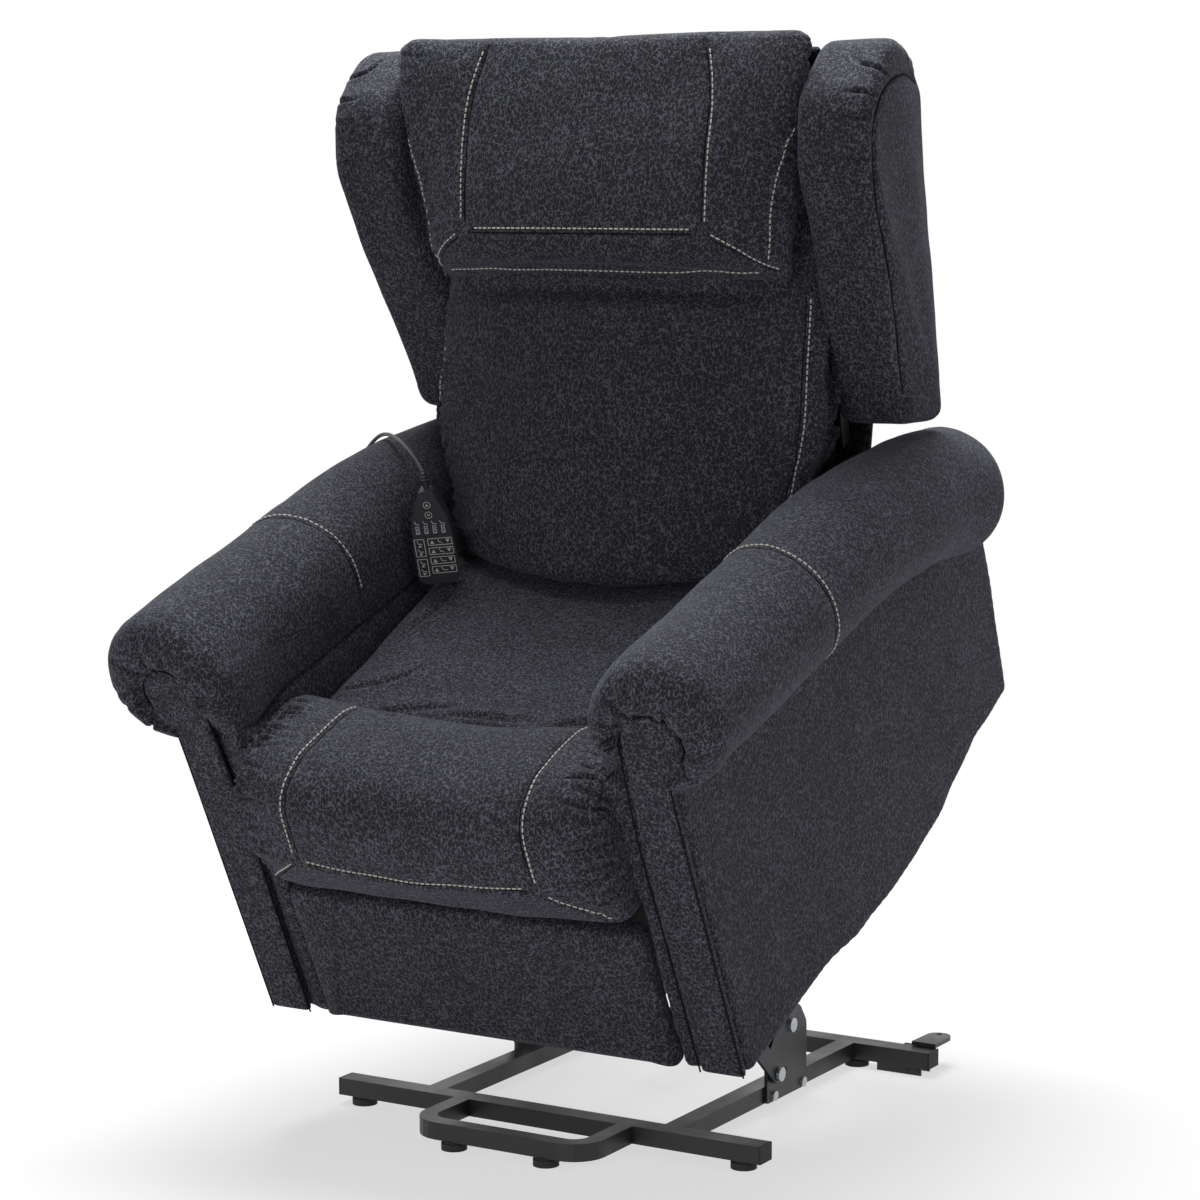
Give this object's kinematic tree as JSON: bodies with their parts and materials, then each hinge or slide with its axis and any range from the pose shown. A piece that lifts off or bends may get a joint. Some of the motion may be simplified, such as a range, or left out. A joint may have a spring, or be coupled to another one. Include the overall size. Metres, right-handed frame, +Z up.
{
  "type": "lift recliner chair",
  "caption": "Upholstered wing-back lift recliner with scrolled roll arms, wired handset and an electric lifting linkage on a low steel base, shown raised and tilted forward.",
  "frame": {"origin": "on the floor, under the middle of the raised chair's box", "axes": "+X to the sitter's left, -Y to the front, +Z up"},
  "size_m": [0.9268, 1.0936, 1.4799],
  "materials": {
    "base_steel": "satin black powder coat",
    "frame_steel": "satin black paint",
    "zinc_steel": "zinc plated",
    "rubber_black": "matt",
    "black_plastic": "fine textured",
    "key_plastic": "satin with pale symbols",
    "charcoal_fabric": "mottled chenille",
    "black_lining": "thin woven lining",
    "timber": "sawn and unfinished"
  },
  "bodies": {
    "base": {"front_crossbar": "base_steel", "rear_crossbar": "base_steel", "side_rail_left": "base_steel", "side_rail_right": "base_steel", "stability_hoop": "base_steel", "upright_plate_left": "base_steel", "upright_plate_right": "base_steel", "rubber_feet": "rubber_black", "tube_end_caps": "rubber_black", "frame_bolts": "zinc_steel", "motor_clevis": "base_steel", "castor_housings": "base_steel", "castor_pedal": "base_steel"},
    "lower_links": {"lower_link_left": "base_steel", "lower_link_right": "base_steel", "torque_tube": "base_steel"},
    "upper_links": {"upper_link_left": "base_steel", "upper_link_right": "base_steel"},
    "lift_motor": {"lift_motor": "black_plastic"},
    "lift_rod": {"lift_rod": "zinc_steel"},
    "chair": {"chassis_side_left": "frame_steel", "chassis_side_right": "frame_steel", "chassis_cross_tubes": "frame_steel", "seat_frame": "timber", "seat_springs": "zinc_steel", "seat_cushion": "charcoal_fabric", "front_pad": "charcoal_fabric", "arm_body_left": "charcoal_fabric", "arm_body_right": "charcoal_fabric", "arm_roll_left": "charcoal_fabric", "arm_roll_right": "charcoal_fabric", "arm_facing_left": "charcoal_fabric", "arm_facing_right": "charcoal_fabric", "rear_panel": "black_lining", "power_box": "black_plastic", "leg_motor": "black_plastic", "handset_lower_shell": "black_plastic", "handset_upper_shell": "black_plastic", "handset_cord": "rubber_black"},
    "back": {"back_frame": "frame_steel", "back_cushion": "charcoal_fabric", "head_pillow": "charcoal_fabric", "wing_left": "charcoal_fabric", "wing_right": "charcoal_fabric", "back_cover": "charcoal_fabric"},
    "recline_motor": {"recline_motor": "black_plastic"},
    "recline_rod": {"recline_rod": "zinc_steel"},
    "footrest": {"footrest_panel": "charcoal_fabric", "footrest_arms": "frame_steel"},
    "leg_rod": {"leg_rod": "zinc_steel"},
    "wheel_left": {"castor_wheel_left": "rubber_black"},
    "wheel_right": {"castor_wheel_right": "rubber_black"},
    "power_key_body": {"power_key": "key_plastic"},
    "lamp_key_body": {"lamp_key": "key_plastic"},
    "lift_rocker_body": {"lift_rocker": "key_plastic"},
    "recline_rocker_body": {"recline_rocker": "key_plastic"},
    "back_keys_body": {"back_keys": "key_plastic"},
    "leg_keys_body": {"leg_keys": "key_plastic"},
    "memory_keys_body": {"memory_keys": "key_plastic"},
    "heat_keys_body": {"heat_keys": "key_plastic"}
  },
  "joints": [
    {"name": "lift_arm_swing", "type": "hinge", "parent": "base", "child": "lower_links", "pos_m": [0, 0.12576, 0.052], "axis": [1, 0, 0], "range_deg": [0, 36.62]},
    {"name": "chair_pivot", "type": "hinge", "parent": "lower_links", "child": "chair", "pos_m": [0, -0.10967, 0.25696], "axis": [1, 0, 0], "range_deg": [-62.7, 0]},
    {"name": "upper_link_swing", "type": "hinge", "parent": "base", "child": "upper_links", "pos_m": [0, 0.17576, 0.11], "axis": [1, 0, 0], "range_deg": [0, 35.8]},
    {"name": "lift_motor_tilt", "type": "hinge", "parent": "base", "child": "lift_motor", "pos_m": [0, 0.37076, 0.07], "axis": [1, 0, 0], "range_deg": [0, 2.8]},
    {"name": "lift_rod_slide", "type": "slide", "parent": "lift_motor", "child": "lift_rod", "axis": [0, -0.9263, 0.3767], "range_m": [0, 0.0688]},
    {"name": "back_recline", "type": "hinge", "parent": "chair", "child": "back", "pos_m": [0, 0.30639, 0.61565], "axis": [-1, 0, 0], "range_deg": [0, 38]},
    {"name": "recline_motor_tilt", "type": "hinge", "parent": "chair", "child": "recline_motor", "pos_m": [0, -0.22999, 0.37407], "axis": [1, 0, 0], "range_deg": [0, 2.6]},
    {"name": "recline_rod_slide", "type": "slide", "parent": "recline_motor", "child": "recline_rod", "axis": [0, 0.9732, 0.2301], "range_m": [-0.0698, 0]},
    {"name": "footrest_swing", "type": "hinge", "parent": "chair", "child": "footrest", "pos_m": [0, -0.30676, 0.34442], "axis": [-1, 0, 0], "range_deg": [0, 85]},
    {"name": "leg_rod_slide", "type": "slide", "parent": "chair", "child": "leg_rod", "axis": [0, -0.8967, -0.4426], "range_m": [0, 0.0684]},
    {"name": "wheel_left_roll", "type": "hinge", "parent": "base", "child": "wheel_left", "pos_m": [0.269, 0.43676, 0.017], "axis": [1, 0, 0], "continuous": true},
    {"name": "wheel_right_roll", "type": "hinge", "parent": "base", "child": "wheel_right", "pos_m": [-0.269, 0.43676, 0.017], "axis": [1, 0, 0], "continuous": true},
    {"name": "power_key_press", "type": "slide", "parent": "chair", "child": "power_key_body", "axis": [-0.3984, 0.8543, 0.3338], "range_m": [0, 0.0008], "stiffness_N_per_m": 500, "springref_m": -0.0004},
    {"name": "lamp_key_press", "type": "slide", "parent": "chair", "child": "lamp_key_body", "axis": [-0.3984, 0.8543, 0.3338], "range_m": [0, 0.0008], "stiffness_N_per_m": 500, "springref_m": -0.0004},
    {"name": "lift_rocker_press", "type": "slide", "parent": "chair", "child": "lift_rocker_body", "axis": [-0.3984, 0.8543, 0.3338], "range_m": [0, 0.0008], "stiffness_N_per_m": 500, "springref_m": -0.0004},
    {"name": "recline_rocker_press", "type": "slide", "parent": "chair", "child": "recline_rocker_body", "axis": [-0.3984, 0.8543, 0.3338], "range_m": [0, 0.0008], "stiffness_N_per_m": 500, "springref_m": -0.0004},
    {"name": "back_keys_press", "type": "slide", "parent": "chair", "child": "back_keys_body", "axis": [-0.3984, 0.8543, 0.3338], "range_m": [0, 0.0008], "stiffness_N_per_m": 500, "springref_m": -0.0004},
    {"name": "leg_keys_press", "type": "slide", "parent": "chair", "child": "leg_keys_body", "axis": [-0.3984, 0.8543, 0.3338], "range_m": [0, 0.0008], "stiffness_N_per_m": 500, "springref_m": -0.0004},
    {"name": "memory_keys_press", "type": "slide", "parent": "chair", "child": "memory_keys_body", "axis": [-0.3984, 0.8543, 0.3338], "range_m": [0, 0.0008], "stiffness_N_per_m": 500, "springref_m": -0.0004},
    {"name": "heat_keys_press", "type": "slide", "parent": "chair", "child": "heat_keys_body", "axis": [-0.3984, 0.8543, 0.3338], "range_m": [0, 0.0008], "stiffness_N_per_m": 500, "springref_m": -0.0004}
  ],
  "couplings": [
    {"joint": "chair_pivot", "follows": "lift_arm_swing", "ratio": -1.7099},
    {"joint": "upper_link_swing", "follows": "lift_arm_swing", "ratio": 0.974},
    {"joint": "lift_motor_tilt", "follows": "lift_arm_swing", "ratio": 0.0717},
    {"joint": "lift_rod_slide", "follows": "lift_arm_swing", "m_per_rad": 0.1068},
    {"joint": "recline_motor_tilt", "follows": "back_recline", "ratio": 0.0612},
    {"joint": "recline_rod_slide", "follows": "back_recline", "m_per_rad": -0.10455},
    {"joint": "leg_rod_slide", "follows": "footrest_swing", "m_per_rad": 0.04577}
  ]
}
